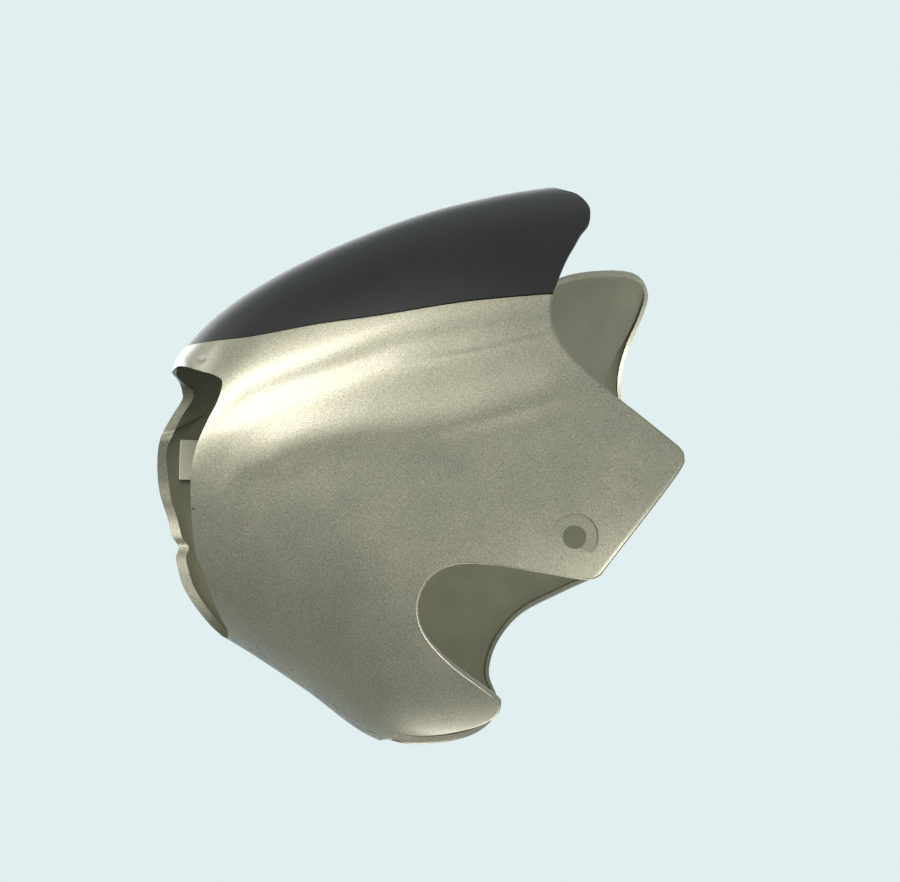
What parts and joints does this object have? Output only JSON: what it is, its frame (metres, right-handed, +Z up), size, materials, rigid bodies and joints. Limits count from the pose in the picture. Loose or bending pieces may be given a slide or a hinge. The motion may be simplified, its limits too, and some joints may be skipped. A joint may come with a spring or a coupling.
{
  "type": "motorbike headlight cowl",
  "caption": "Silver moulded motorbike headlight cowl with a lipped lamp opening, a dark tinted screen on top, a round mounting hole and a notch in its near side.",
  "frame": {"origin": "middle of the headlight opening, on the centre plane", "axes": "+X towards the rear of the bike, +Z up, the near side with the round hole is -Y"},
  "size_m": [0.4003, 0.2798, 0.4494],
  "materials": {
    "silver_paint": "satin",
    "tinted_sheet": "gloss",
    "foam_pad": "matte"
  },
  "bodies": {
    "root": {"cowl_shell": "silver_paint", "screen": "tinted_sheet", "wall_pad": "foam_pad"}
  },
  "joints": []
}
